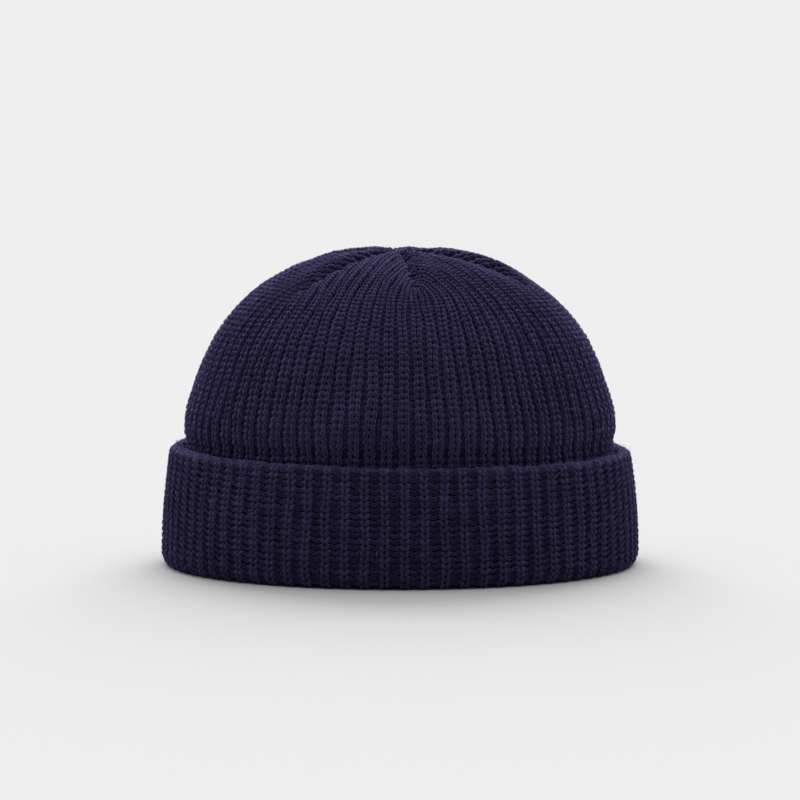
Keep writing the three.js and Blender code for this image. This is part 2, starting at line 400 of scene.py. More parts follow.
def plainObject(name, verts, faces):
    mesh = bpy.data.meshes.new(name)
    mesh.from_pydata(verts, [], faces)
    mesh.polygons.foreach_set("use_smooth", [True] * len(mesh.polygons))
    return bpy.data.objects.new(name, mesh)


def toScene(made):
    bpy.context.scene.collection.objects.link(made)
    return made


def mappedObject(name, parts, mapName="yarn"):
    # One object of several parts, each with its vertices, faces and their UV places
    verts, faces, corners = [], [], []
    for partVerts, partFaces, partUvs in parts:
        start = len(verts)
        verts += [tuple(v) for v in partVerts]
        faces += [tuple(start + i for i in face) for face in partFaces]
        corners += [uv for face in partUvs for uv in face]
    piece = plainObject(name, verts, faces)
    layer = piece.data.uv_layers.new(name=mapName)
    layer.data.foreach_set("uv", np.array(corners, dtype=np.float32).ravel())
    return piece


def knitShape(name, form):
    # The two legs of one knit stitch, closer together at the top
    parts = []
    for side in (-1, 1):
        path = []
        for t, _ in legRings:
            x = side * (form["legGap"] + form["legLean"] * (1 - 2 * t))
            y = (t - 0.5) * form["legOverlap"] * form["rowPitch"]
            path.append((x, y, form["legArch"] * (math.sin(math.pi * t) - 1)))
        radii = [form["legRadius"] * share for _, share in legRings]
        parts.append(tubeAlong(path, radii, legFlatness, 6))
    return mappedObject(name, parts)


def purlShape(name, form):
    # One bump of a purl column, bowed along the rib and sunk in its middle
    path = []
    for x, _ in purlRings:
        y = form["purlSag"] * (0.4 - abs(x) ** 1.1) * form["rowPitch"]
        path.append((x * purlHalf, y, -form["purlArch"] * math.cos(x * math.pi / 2)))
    radii = [form["purlRadius"] * share for _, share in purlRings]
    return mappedObject(name, [tubeAlong(path, radii, purlFlatness, 5)])


def turnsOf(across, along):
    # Euler turns of the frames whose X runs across the rib and whose Y runs along it
    along = unit(along)
    out = unit(np.cross(across, along))
    side = np.cross(along, out)
    pitch = -np.arcsin(np.clip(side[:, 2], -1, 1))
    roll = np.arctan2(along[:, 2], out[:, 2])
    yaw = np.arctan2(side[:, 1], side[:, 0])
    return np.column_stack([roll, pitch, yaw])


def pointCloud(name, spots, turns, scales, tones):
    mesh = bpy.data.meshes.new(name)
    mesh.from_pydata(spots.tolist(), [], [])
    # Each stitch's tone: random, and lower on the purl stitches as painted shade
    tone = mesh.attributes.new("stitchToneAndShade", "FLOAT", "POINT")
    shares = np.random.default_rng(len(spots)).uniform(*tones, len(spots))
    tone.data.foreach_set("value", shares.astype(np.float32))
    for label, values in (("stitchTurn", turns), ("stitchSize", scales)):
        layer = mesh.attributes.new(label, "FLOAT_VECTOR", "POINT")
        layer.data.foreach_set("vector", values.astype(np.float32).ravel())
    return bpy.data.objects.new(name, mesh)


def setSockets(node, values):
    for key, value in values.items():
        node.inputs[key].default_value = value
    return node


def nodeMaker(tree):
    # Gives a function that adds a node to the tree, with its settings and its sockets' values
    def make(kind, values={}, **settings):
        made = tree.nodes.new(kind)
        for key, value in settings.items():
            setattr(made, key, value)
        return setSockets(made, values)

    return make


def linkAll(tree, rows):
    # Each row is a node and its output, then a node and its input
    for source, output, target, socket in rows:
        tree.links.new(source.outputs[output], target.inputs[socket])


# Geometry Nodes: one stitch on every point, a little uneven, as real meshes
def stitchTree():
    tree = bpy.data.node_groups.new("stitchesOnPoints", "GeometryNodeTree")
    face = tree.interface
    face.new_socket("Geometry", in_out="INPUT", socket_type="NodeSocketGeometry")
    for label, kind in (
        ("Stitch", "NodeSocketObject"),
        ("Twist", "NodeSocketFloat"),
        ("Unevenness", "NodeSocketFloat"),
        ("Seed", "NodeSocketInt"),
        ("Yarn", "NodeSocketMaterial"),
    ):
        face.new_socket(label, in_out="INPUT", socket_type=kind)
    face.new_socket("Geometry", in_out="OUTPUT", socket_type="NodeSocketGeometry")

    node = nodeMaker(tree)
    vector = "FLOAT_VECTOR"
    start = node("NodeGroupInput")
    turn = node("GeometryNodeInputNamedAttribute", {"Name": "stitchTurn"}, data_type=vector)
    size = node("GeometryNodeInputNamedAttribute", {"Name": "stitchSize"}, data_type=vector)
    toRotation = node("FunctionNodeEulerToRotation")
    shape = node("GeometryNodeObjectInfo", transform_space="ORIGINAL")
    lowTwist = node("ShaderNodeMath", {1: -1}, operation="MULTIPLY")
    wobble = node("FunctionNodeRandomValue", data_type=vector)
    twistBy = node("FunctionNodeRotateRotation", rotation_space="LOCAL")
    wobbleTurn = node("FunctionNodeEulerToRotation")
    lowSize = node("ShaderNodeMath", {0: 1}, operation="SUBTRACT")
    highSize = node("ShaderNodeMath", {0: 1}, operation="ADD")
    grow = node("FunctionNodeRandomValue", data_type=vector)
    resize = node("ShaderNodeVectorMath", operation="MULTIPLY")
    onPoints = node("GeometryNodeInstanceOnPoints")
    real = node("GeometryNodeRealizeInstances")
    paint = node("GeometryNodeSetMaterial")
    end = node("NodeGroupOutput")
    linkAll(tree, (
        (start, "Stitch", shape, "Object"), (start, "Twist", lowTwist, 0),
        (lowTwist, 0, wobble, "Min"), (start, "Twist", wobble, "Max"),
        (start, "Seed", wobble, "Seed"), (wobble, "Value", wobbleTurn, "Euler"),
        (turn, "Attribute", toRotation, "Euler"), (toRotation, "Rotation", twistBy, "Rotation"),
        (wobbleTurn, "Rotation", twistBy, "Rotate By"), (start, "Unevenness", lowSize, 1),
        (start, "Unevenness", highSize, 1), (lowSize, 0, grow, "Min"),
        (highSize, 0, grow, "Max"), (start, "Seed", grow, "Seed"),
        (size, "Attribute", resize, 0), (grow, "Value", resize, 1),
        (start, "Geometry", onPoints, "Points"), (shape, "Geometry", onPoints, "Instance"),
        (twistBy, "Rotation", onPoints, "Rotation"), (resize, "Vector", onPoints, "Scale"),
        (onPoints, "Instances", real, "Geometry"), (real, "Geometry", paint, "Geometry"),
        (start, "Yarn", paint, "Material"), (paint, "Geometry", end, "Geometry"),
    ))
    return tree


def knitted(cloud, tree, values):
    # The evaluated tree, as a plain mesh's vertices, faces and materials
    toScene(cloud)
    modifier = cloud.modifiers.new("stitches", "NODES")
    modifier.node_group = tree
    for socket in tree.interface.items_tree:
        if socket.in_out == "INPUT" and socket.name in values:
            modifier[socket.identifier] = values[socket.name]
    graph = bpy.context.evaluated_depsgraph_get()
    mesh = bpy.data.meshes.new_from_object(cloud.evaluated_get(graph))
    bpy.data.objects.remove(cloud)
    return mesh


def joined(name, meshes):
    # Several meshes of one material, as one object at the origin
    made = [toScene(bpy.data.objects.new(name, mesh)) for mesh in meshes]
    with bpy.context.temp_override(active_object=made[0], selected_editable_objects=made):
        bpy.ops.object.join()
    made[0].name = name
    made[0].data.name = name
    return made[0]


# Where the stitches of the crown go
crownKnit = {
    "start": -8.5 * mm,          # hidden behind the cuff's top
    "topReach": 3.2 * mm,
    "sink": 0.95 * mm,           # of a rib's middle below the outline
    "purlSink": 2.35 * mm,
    "seamClear": 0.08,           # ribs
    "seamSink": 1.9 * mm,
    "seamPitch": 2.5 * mm,
    "seamStart": 0.97,           # as a share of the dart's reach
    "seamStop": 1.2 * mm,        # short of the middle of the top
    "purlClear": 0.2,            # ribs
    "topWidth": 0.66,            # of a stitch, where the ribs are at their closest
    "closePitch": 4.8 * mm,      # a rib's width where they are, and how much wider it is where they aren't
    "widerBy": 2.8 * mm,
    "rowBend": 0.85,             # how much the rows straighten across a panel
    "bendFrom": 1.35,            # out from there and over this stretch, as shares of the dart's reach
    "bendOver": 0.65,
    "longestRow": 1.1,           # of a stitch, in rows
}
stitchProbe = 0.6 * mm           # from a stitch to the places along its rib that give its way and stretch


def crownRows(index, rib):
    # Lengths up the section of every row on a rib. The rows straighten across a panel near the top.
    rows = np.arange(crownKnit["start"], crownLength, crownStitch["rowPitch"])
    reach = reachAt(rows)
    x = rib * dartReach(index) * ribTurn
    dart = dartForm["reach"]
    bend = smooth((crownKnit["bendFrom"] * dart - reach) / (crownKnit["bendOver"] * dart))
    weight = crownKnit["rowBend"] * bend * (rows > 0)
    slant = np.sqrt(reach**2 + (weight * x) ** 2)
    top = crownSection["s"] > 8 * mm
    back = np.interp(-slant, -crownSection["a"][top], crownSection["s"][top])
    return np.where(weight > 0, back, rows)


def placeOf(spots):
    # The length up the section at which points near the dome lie
    return lengthAt(np.hypot(spots[:, 0], spots[:, 1] / depthRatio))


def scalesOf(width, length):
    return np.column_stack([width, length, np.ones(len(length))])


def stacked(*kinds):
    # Each kind's rows of spots, turns and scales as one of each
    return [tuple(np.vstack(column) for column in zip(*rows)) for rows in kinds]


def seamStitches(index):
    # A sunken column up the dart at the panel's left, which closes it and the middle of the top
    probe = 0.5 * mm
    start = lengthAt(crownKnit["seamStart"] * dartReach(index), 0)
    s = np.arange(start, crownLength - crownKnit["seamStop"], crownKnit["seamPitch"])

    def onSeam(s, off):
        reach = reachAt(s)
        limit, _ = seamLimit(index, np.full(len(s), -1.0), reach)
        return crownPoint(index, -limit, s, off)

    spots = onSeam(s, -crownKnit["seamSink"])
    along = onSeam(s + probe, 0) - onSeam(s - probe, 0)
    outX, outZ = lookUp(crownSection, placeOf(spots), ("outA", "outB"))
    angle = np.arctan2(spots[:, 0], -spots[:, 1] / depthRatio)
    out = np.column_stack([outX * np.sin(angle), -outX * np.cos(angle), outZ])
    turns = turnsOf(np.cross(along, out), along)
    stretch = lengthsOf(along) / (2 * probe)
    length = stretch * crownKnit["seamPitch"] / crownStitch["rowPitch"]
    return spots, turns, scalesOf(np.full(len(s), crownKnit["topWidth"]), length)


def clothAt(point, rib, low, high, s):
    # At places up a rib: the way across it, the way along it, its width and how far it is stretched
    across = (point(high, s) - point(low, s)) / (high - low)
    along = point(rib, s + stitchProbe) - point(rib, s - stitchProbe)
    return across, along, lengthsOf(across), lengthsOf(along) / (2 * stitchProbe)


def crownStitches(index):
    # Spots, turns and scales of one panel's knit stitches and purl stitches
    point = partial(crownPoint, index)
    half = panels[index]["ribs"] / 2
    knit, purl = [seamStitches(index)], []
    nudge = 0.24   # ribs, to the places beside a stitch that give its rib's width
    for step in range(2 * panels[index]["ribs"]):
        rib = step / 2 - half
        isKnit = step % 2 == 1
        s = crownRows(index, rib)
        gaps = np.diff(np.append(s, crownLength))
        reach = reachAt(s)
        limit, _ = seamLimit(index, rib, reach)
        clear = crownKnit["seamClear"] if isKnit else crownKnit["purlClear"]
        if step == 0:
            clear = -crownKnit["seamClear"]   # the gutter between two panels runs up to the dart
        shown = (np.abs(rib) < limit - clear) & (reach > crownKnit["topReach"])
        s = s[shown]
        if not len(s):
            continue
        gaps = np.minimum(gaps[shown], crownKnit["longestRow"] * crownStitch["rowPitch"])
        across, along, pitch, stretch = clothAt(point, rib, max(rib - nudge, -half), rib + nudge, s)
        turns = turnsOf(across, along)
        spread = np.clip((pitch - crownKnit["closePitch"]) / crownKnit["widerBy"], 0, 1)
        width = crownKnit["topWidth"] + (1 - crownKnit["topWidth"]) * spread
        length = gaps * stretch / crownStitch["rowPitch"]
        if isKnit:
            knit.append((point(rib, s, -crownKnit["sink"]), turns, scalesOf(width, length)))
        else:
            reachOut = pitch / 2 - crownStitch["legGap"] * width + crownStitch["purlInto"]
            purl.append((point(rib, s, -crownKnit["purlSink"]), turns, scalesOf(reachOut / purlHalf, length)))
    return stacked(knit, purl)


# Where the stitches of the cuff go
cuffKnit = {
    "start": 3.4 * mm,           # round the fold, just clear of the surface
    "end": 5.5 * mm,             # down behind the rim
    "sink": 0.72 * mm,
    "purlSink": 1.6 * mm,
    "rimLevel": 0.55 * mm,       # how much nearer the two lie at the rim
    "rimBelow": 14 * mm,         # where that starts below it, and over what length
    "rimOver": 8 * mm,
}


def cuffStitches(firstRib, lastRib):
    # Spots, turns and scales of the stitches between two of the cuff's ribs
    nudge = 0.25
    s = np.arange(cuffKnit["start"], cuffRim + cuffKnit["end"], cuffStitch["rowPitch"])
    knit, purl = [], []
    for step in range(2 * firstRib, 2 * lastRib):
        rib = step / 2
        isKnit = step % 2 == 1
        across, along, pitch, length = clothAt(cuffPoint, rib, rib - nudge, rib + nudge, s)
        turns = turnsOf(-across, -along)
        level = cuffKnit["rimLevel"] * smooth((s - cuffRim + cuffKnit["rimBelow"]) / cuffKnit["rimOver"])
        if isKnit:
            spots = cuffPoint(rib, s, -cuffKnit["sink"] - level)
            knit.append((spots, turns, scalesOf(np.ones(len(s)), length)))
        else:
            spots = cuffPoint(rib, s, level - cuffKnit["purlSink"])
            reachOut = pitch / 2 - cuffStitch["legGap"] + cuffStitch["purlInto"]
            purl.append((spots, turns, scalesOf(reachOut / purlHalf, length)))
    return stacked(knit, purl)


# Each yarn's two linear colours, and how strong and how wide its sheen is
yarnLooks = {
    "crown": {"light": (0.082, 0.071, 0.186), "dark": (0.0106, 0.0092, 0.0265), "sheen": (1, 0.42)},
    # The cuff is of the crown's yarn; its lighter colours are painted light that lifts the shade on the cuff
    "cuff": {"light": (0.112, 0.098, 0.25), "dark": (0.0148, 0.0129, 0.036), "sheen": (0.6, 0.5)},
    "inside": {"light": (0.082, 0.071, 0.186), "dark": (0.0106, 0.0092, 0.0265), "sheen": (0.4, 0.5)},
    "back": {"light": (0.055, 0.049, 0.122), "dark": (0.016, 0.014, 0.036), "sheen": (0.1, 0.5)},
    "fuzz": {"light": (0.3, 0.27, 0.52), "dark": (0.1, 0.09, 0.2), "sheen": (0.3, 0.5)},
    "lint": {"light": (0.72, 0.7, 0.84), "dark": (0.45, 0.43, 0.6), "sheen": (0.3, 0.5)},
}
woolForm = {
    "fibreWidth": 4.5,           # fibres to a millimetre round the yarn
    "fibreLength": 0.8,          # and along it
    "twist": math.radians(28),
    "speckle": 1300,
    "speckleHeight": 0.6,
    "patches": 45,
    "patchAmount": 0.16,
    "stitchAmount": 0.14,        # how much lighter or darker a whole stitch may be
    "darkBelow": 0.4,            # tones, between which the yarn goes from dark to light
    "lightAbove": 0.66,
    "roughness": 0.9,
    "specular": 0.12,
    "sheenTint": (0.5, 0.42, 1, 1),
    "bump": 0.9,
    "bumpHeight": 0.5 * mm,
    "rowHeight": 2.2,            # of the rows of V stitches where none is modelled
    # how much darker the grooves between those rows are: painted shade
    "rowShade": 0.22,
}


def fibreGroup():
    # Wool fibres twisted round the yarn, with each stitch's tone and painted shade: how light it is at a
    # spot, and its small bumps
    group = bpy.data.node_groups.new("woolFibres", "ShaderNodeTree")
    face = group.interface
    amount = face.new_socket("Stitch Amount", in_out="INPUT", socket_type="NodeSocketFloat")
    amount.default_value = woolForm["stitchAmount"]
    face.new_socket("Tone", in_out="OUTPUT", socket_type="NodeSocketFloat")
    face.new_socket("Height", in_out="OUTPUT", socket_type="NodeSocketFloat")

    node = nodeMaker(group)
    stretch = (woolForm["fibreWidth"], woolForm["fibreLength"], 1)
    patchy = woolForm["patchAmount"]
    start = node("NodeGroupInput")
    yarnMap = node("ShaderNodeUVMap", uv_map="yarn")
    turned = node("ShaderNodeMapping", {"Rotation": (0, 0, woolForm["twist"])})
    stretched = node("ShaderNodeMapping", {"Scale": stretch})
    place = node("ShaderNodeTexCoord")
    # each stitch's tone, lower on the purl stitches as painted shade
    stitch = node("ShaderNodeAttribute", attribute_name="stitchToneAndShade")
    strands = node("ShaderNodeTexNoise", {"Scale": 1, "Detail": 3, "Roughness": 0.65})
    speckle = node("ShaderNodeTexNoise", {"Scale": woolForm["speckle"], "Detail": 2})
    patches = node("ShaderNodeTexNoise", {"Scale": woolForm["patches"], "Detail": 2})
    both = node("ShaderNodeMath", operation="ADD")
    mixed = node("ShaderNodeMath", {1: 0.5}, operation="MULTIPLY_ADD")
    centred = node("ShaderNodeMath", {1: 0.5}, operation="SUBTRACT")
    byStitch = node("ShaderNodeMath", operation="MULTIPLY")
    broad = node("ShaderNodeMath", {1: patchy, 2: -patchy / 2}, operation="MULTIPLY_ADD")
    tone = node("ShaderNodeMath", operation="ADD")
    height = node("ShaderNodeMath", {1: woolForm["speckleHeight"]}, operation="MULTIPLY_ADD")
    end = node("NodeGroupOutput")
    linkAll(group, (
        (yarnMap, "UV", turned, "Vector"), (turned, "Vector", stretched, "Vector"),
        (stretched, "Vector", strands, "Vector"), (place, "Object", speckle, "Vector"),
        (place, "Object", patches, "Vector"), (strands, "Fac", both, 0),
        (speckle, "Fac", both, 1), (both, 0, mixed, 0),
        (patches, "Fac", broad, 0), (broad, 0, mixed, 2),
        (stitch, "Fac", centred, 0), (centred, 0, byStitch, 0),
        (start, "Stitch Amount", byStitch, 1), (mixed, 0, tone, 0),
        (byStitch, 0, tone, 1), (speckle, "Fac", height, 0),
        (strands, "Fac", height, 2), (tone, 0, end, "Tone"),
        (height, 0, end, "Height"),
    ))
    return group


def yarnMaterial(kind, fibres):
    look = yarnLooks[kind]
    material = bpy.data.materials.new(kind + "Yarn")
    material.use_nodes = True
    tree = material.node_tree
    node = nodeMaker(tree)
    shader = setSockets(tree.nodes["Principled BSDF"], {
        "Roughness": woolForm["roughness"],
        "Specular IOR Level": woolForm["specular"],
        "Sheen Weight": look["sheen"][0],
        "Sheen Roughness": look["sheen"][1],
        "Sheen Tint": woolForm["sheenTint"],
    })
    wool = node("ShaderNodeGroup", node_tree=fibres)
    ramp = node("ShaderNodeValToRGB")
    for stop, at, shade in zip(ramp.color_ramp.elements, ("darkBelow", "lightAbove"), ("dark", "light")):
        stop.position = woolForm[at]
        stop.color = look[shade] + (1,)
    rough = {"Strength": woolForm["bump"], "Distance": woolForm["bumpHeight"]}
    bump = node("ShaderNodeBump", rough)
    linkAll(tree, (
        (wool, "Tone", ramp, "Fac"), (ramp, "Color", shader, "Base Color"),
        (wool, "Height", bump, "Height"), (bump, "Normal", shader, "Normal"),
    ))
    return material


def addRows(tree):
    # Rows of V stitches where no stitch is modelled, their grooves lower and darker by painted shade. The
    # knit map counts ribs across and rows along.
    node = nodeMaker(tree)
    join = tree.links.new

    def mathNode(operation, *values):
        made = node("ShaderNodeMath", operation=operation)
        for socket, value in zip(made.inputs, values):
            if isinstance(value, bpy.types.NodeSocket):
                join(value, socket)
            else:
                socket.default_value = value
        return made.outputs[0]

    knitMap = node("ShaderNodeUVMap", uv_map="knit")
    split = node("ShaderNodeSeparateXYZ")
    join(knitMap.outputs["UV"], split.inputs["Vector"])
    slope = mathNode("PINGPONG", split.outputs["X"], 0.5)
    phase = mathNode("MULTIPLY", mathNode("MULTIPLY_ADD", slope, 0.9, split.outputs["Y"]), 2 * math.pi)
    rows = mathNode("MULTIPLY_ADD", mathNode("SINE", phase), 0.5, 0.5)
    found = {one.type: one for one in tree.nodes}
    wool, ramp, bump = found["GROUP"], found["VALTORGB"], found["BUMP"]
    # Painted shade: darker in the grooves between the rows
    lit = mathNode("MULTIPLY_ADD", rows, woolForm["rowShade"], 1 - woolForm["rowShade"])
    join(mathNode("MULTIPLY", wool.outputs["Tone"], lit), ramp.inputs["Fac"])
    raised = mathNode("MULTIPLY_ADD", rows, woolForm["rowHeight"], wool.outputs["Height"])
    join(raised, bump.inputs["Height"])


fibres = fibreGroup()
yarns = {kind: yarnMaterial(kind, fibres) for kind in yarnLooks}
addRows(yarns["inside"].node_tree)
print("materials done")


# The cloth behind the stitches, a wall with the ribs' broad relief
backForm = {
    "crest": -1.6 * mm,
    "gutter": -2.8 * mm,
    "inner": -3.7 * mm,
    "innerRelief": 0.9 * mm,
    "cuffCrest": -2.2 * mm,
    "cuffGutter": -2.75 * mm,
    "perRib": 4,
    "outerStart": -14 * mm,      # from there up, a ring of points at every step
    "outerStep": 4 * mm,
    "outerStop": 1.5 * mm,       # short of the middle of the top
    "innerStep": 2.88 * mm,
    "innerStop": 2.5 * mm,
    "cuffStep": 3.05 * mm,
    "foldEnd": 3.2 * mm,         # four rings to there, and from cuffStart on one at every step
    "cuffStart": 5 * mm,
    "ribsFrom": 2.6 * mm,        # the fold's ribs rise from there and over this length
    "ribsOver": 4 * mm,
    "plainBelow": 4 * mm,        # no stitch covers the cloth below there, or past the rim less this
    "plainPast": 2 * mm,
    "hiddenBelow": -9 * mm,      # inside the cuff the wall is plain
    "hiddenFace": -0.1 * mm,
    "underside": -0.25 * mm,
    "seamWidth": 3.5 * mm,       # the darts' seams are ridges inside
    "seamRidge": 2.2 * mm,
    "pressed": 0.05 * mm,        # nothing lies lower than this above the floor
}


def crownRing(s, off):
    # One closed ring of points, panel by panel, with off worked out at each rib place
    ring = []
    for index, panel in enumerate(panels):
        reach = float(reachAt(s))
        half = panel["ribs"] / 2
        turn = np.linspace(-1, 1, panel["ribs"] * backForm["perRib"], endpoint=False)
        limit, dart = seamLimit(index, turn, reach)
        rib = turn * limit
        fade = np.clip((limit / half - 0.5) * 2.2, 0, 1)
        gap = (limit - np.abs(rib)) * dart * ribTurn
        depth = smooth((dart - reach) / (dart * dartForm["fade"]))
        seam = depth * bell(gap, backForm["seamWidth"])
        ring.append(crownPoint(index, rib, s, off(rib + half, fade, seam)))
    return np.vstack(ring)


def backShell(name, rings, apexes, isPlain):
    # A closed shell round its rings, or one that closes on two apexes after the ring that apexes names.
    # Its UV map counts ribs and rows, and isPlain says which rows are seen by themselves.
    verts = np.vstack(rings)
    columns = len(rings[0])
    perRib = backForm["perRib"]
    top = len(verts)
    faces, uvs, slots = [], [], []
    for i in range(len(rings)):
        a = i * columns
        b = (i + 1) % len(rings) * columns
        for k in range(columns):
            n = (k + 1) % columns
            u0 = k / perRib
            u1 = (k + 1) / perRib
            if apexes and i == apexes["after"]:
                faces.append((a + k, a + n, top))
                uvs.append([(u0, i), (u1, i), (u0, i + 1)])
                faces.append((b + n, b + k, top + 1))
                uvs.append([(u1, i + 1), (u0, i + 1), (u0, i)])
                slots += [0, 1]
                continue
            faces.append((a + k, a + n, b + n, b + k))
            uvs.append([(u0, i), (u1, i), (u1, i + 1), (u0, i + 1)])
            slots.append(int(isPlain(i)))
    if apexes:
        verts = np.vstack([verts, apexes["points"]])
    verts[:, 2] = np.maximum(verts[:, 2], backForm["pressed"])
    piece = mappedObject(name, [(verts, faces, uvs)], "knit")
    piece.data.polygons.foreach_set("material_index", slots)
    return piece


def ribWave(place):
    return 0.5 - 0.5 * np.cos(2 * math.pi * place)   # 1 on a knit rib, 0 in a gutter


def crownBack():
    low = crownSection["s"][0]
    outer = np.arange(backForm["outerStart"], crownLength - backForm["outerStop"], backForm["outerStep"])
    outer = np.append(low + 0.2 * mm, outer)   # the first and last rings round the hem's edge
    inner = np.arange(crownLength - backForm["innerStop"], low + 2 * mm, -backForm["innerStep"])
    inner = np.append(inner, low + 0.4 * mm)
    relief = backForm["crest"] - backForm["gutter"]

    def outside(place, fade, seam):
        return backForm["gutter"] + relief * ribWave(place) * fade

    def hidden(place, fade, seam):
        return backForm["hiddenFace"] + 0 * place

    def inside(place, fade, seam):
        wave = backForm["innerRelief"] * (1 - ribWave(place)) * fade
        return backForm["inner"] - wave - backForm["seamRidge"] * seam

    rings = [crownRing(s, outside if s > backForm["hiddenBelow"] else hidden) for s in outer]
    last = len(rings) - 1
    rings += [crownRing(s, inside) for s in inner]
    middle = np.zeros(1)
    tops = [crownPoint(0, middle, middle + crownLength, backForm[face]) for face in ("gutter", "inner")]
    apexes = {"after": last, "points": np.vstack(tops)}
    return backShell("crown_back", rings, apexes, lambda i: i > last)


def cuffBack():
    # The band's own closed section, ribbed where it shows and flat underneath
    s = np.arange(backForm["cuffStart"], cuffSection["s"][-1], backForm["cuffStep"])
    s = np.append(np.linspace(0, backForm["foldEnd"], 4), s)
    lastCovered = cuffRim - backForm["plainPast"]
    place = np.arange(backForm["perRib"] * ribCount) / backForm["perRib"]
    relief = backForm["cuffCrest"] - backForm["cuffGutter"]
    rings = []
    for length in s:
        shown = smooth((length - backForm["ribsFrom"]) / backForm["ribsOver"])
        wave = backForm["cuffGutter"] + relief * ribWave(place)
        off = shown * wave + (1 - shown) * backForm["underside"]
        rings.append(cuffPoint(place, place * 0 + length, off))
    return backShell("cuff_back", rings, None, lambda i: s[i] < backForm["plainBelow"] or s[i] > lastCovered)


tree = stitchTree()
crownShapes = (knitShape("crownKnit", crownStitch), purlShape("crownPurl", crownStitch))
cuffShapes = (knitShape("cuffKnit", cuffStitch), purlShape("cuffPurl", cuffStitch))


# Loose fibres that stand off the yarn
fuzzForm = {
    "crownCount": 4020,
    "cuffCount": 2500,
    "shortest": 1.6 * mm,
    "longest": 4.2 * mm,
    "radius": 0.05 * mm,
    "lift": 0.5,                 # how far a fibre's way leans out of the cloth
    "curl": 0.75,
    "taper": 0.5,
    "rootDepth": 0.4 * mm,
    "wallShare": 0.72,           # of the crown's fibres, on its lower part, up to the wall's top
    "wallTop": 62 * mm,
    "domeReach": 70 * mm,        # the others lie this near to the middle of the top
    "panelShare": 0.94,          # of a panel's ribs that have fibres
    "seamShare": 0.97,           # how near to a dart one may be
    "offRib": 0.3,               # ribs, from a rib's middle
    "offCuffRib": 0.4,
}
# A few pale fibres of lint, longer than the rest
lintForm = {
    "count": 16,
    "shortest": 2.5 * mm,
    "longest": 6 * mm,
    "radius": 0.075 * mm,
}


def fibreMesh(name, roots, outs, seed, lengths, radius):
    # Thin, closed, three-sided tubes that leave their roots and bend back over the cloth
    rng = np.random.default_rng(seed)
    count = len(roots)
    way = rng.normal(size=(count, 3))
    way = unit(way - outs * np.sum(way * outs, axis=1)[:, None])
    side = np.cross(outs, way)
    lift = fuzzForm["lift"] * rng.uniform(0.3, 1.3, (count, 1))
    curl = fuzzForm["curl"] * rng.uniform(-1, 1, (count, 1))
    shares = np.array([0.0, 0.35, 0.7, 1.0])
    rings = []
    for t in shares:
        bent = way * t + side * curl * t * t + outs * lift * (t - 0.55 * t * t)
        rings.append(roots + lengths[:, None] * bent)
    verts = []
    for i, t in enumerate(shares[:-1]):
        for k in range(3):
            a = 2 * math.pi * k / 3
            around = math.cos(a) * side + math.sin(a) * outs
            verts.append(rings[i] + radius * (1 - fuzzForm["taper"] * t) * around)
    verts.append(rings[-1])
    points = np.stack(verts, axis=1).reshape(-1, 3)
    one = [(2, 1, 0)]
    for i in range(2):
        for k in range(3):
            n = (k + 1) % 3
            one.append((3 * i + k, 3 * i + n, 3 * i + 3 + n, 3 * i + 3 + k))
    one += [(6, 7, 9), (7, 8, 9), (8, 6, 9)]
    faces = [tuple(10 * f + i for i in face) for f in range(count) for face in one]
    points[:, 2] = np.maximum(points[:, 2], backForm["pressed"])
    return plainObject(name, points.tolist(), faces)


def normalsOf(point, place, s):
    side = point(place + 0.05, s) - point(place - 0.05, s)
    up = point(place, s + 0.4 * mm) - point(place, s - 0.4 * mm)
    return unit(np.cross(side, up))


def crownFuzz():
    roots, outs = [], []
    rng = np.random.default_rng(5)
    each = fuzzForm["crownCount"] // len(panels)
    for index, panel in enumerate(panels):
        reach = np.sqrt(rng.uniform(0.003, 1, each))
        isLow = rng.random(each) < fuzzForm["wallShare"]
        low = rng.uniform(-2 * mm, fuzzForm["wallTop"], each)
        dome = lengthAt(reach * fuzzForm["domeReach"], 0)
        s = np.where(isLow, low, dome)
        limit, _ = seamLimit(index, np.full(each, -1.0), reachAt(s))
        half = panel["ribs"] / 2
        share, off, near = fuzzForm["panelShare"], fuzzForm["offRib"], fuzzForm["seamShare"] * limit
        rib = np.round(rng.uniform(-share, share, each) * limit + half - 0.5) - half + 0.5
        rib = np.clip(rib + rng.uniform(-off, off, each), -near, near)
        point = partial(crownPoint, index)
        roots.append(point(rib, s, -fuzzForm["rootDepth"]))
        outs.append(normalsOf(point, rib, s))
    return np.vstack(roots), np.vstack(outs)


def cuffFuzz():
    rng = np.random.default_rng(6)
    count = fuzzForm["cuffCount"]
    s = rng.uniform(cuffKnit["start"] + 3 * mm, cuffRim + 2 * mm, count)
    off = fuzzForm["offCuffRib"]
    rib = rng.integers(0, ribCount, count) + 0.5 + rng.uniform(-off, off, count)
    return cuffPoint(rib, s, -fuzzForm["rootDepth"]), normalsOf(cuffPoint, rib, s)


stitchVariation = {"Twist": 0.11, "Unevenness": 0.09}


def knitPiece(name, stitches, form, shapes, yarn, seed):
    meshes = []
    # The purl stitches' tones are lower than the knit ones': painted shade in the gutters
    kinds = zip(("Knit", "Purl"), shapes, stitches, (knitTones, form["purlTonesWithPaintedShade"]))
    for label, shape, rows, tones in kinds:
        cloud = pointCloud(name + label, *rows, tones)
        values = {"Stitch": shape, "Seed": seed, "Yarn": yarn, **stitchVariation}
        meshes.append(knitted(cloud, tree, values))
    piece = joined(name, meshes)
    spots = np.empty(len(piece.data.vertices) * 3, dtype=np.float32)
    piece.data.vertices.foreach_get("co", spots)
    spots = spots.reshape(-1, 3)
    spots[:, 2] = np.maximum(spots[:, 2], backForm["pressed"])   # the cloth is pressed flat where it rests
    piece.data.vertices.foreach_set("co", spots.ravel())
    piece.data.update()
    return piece


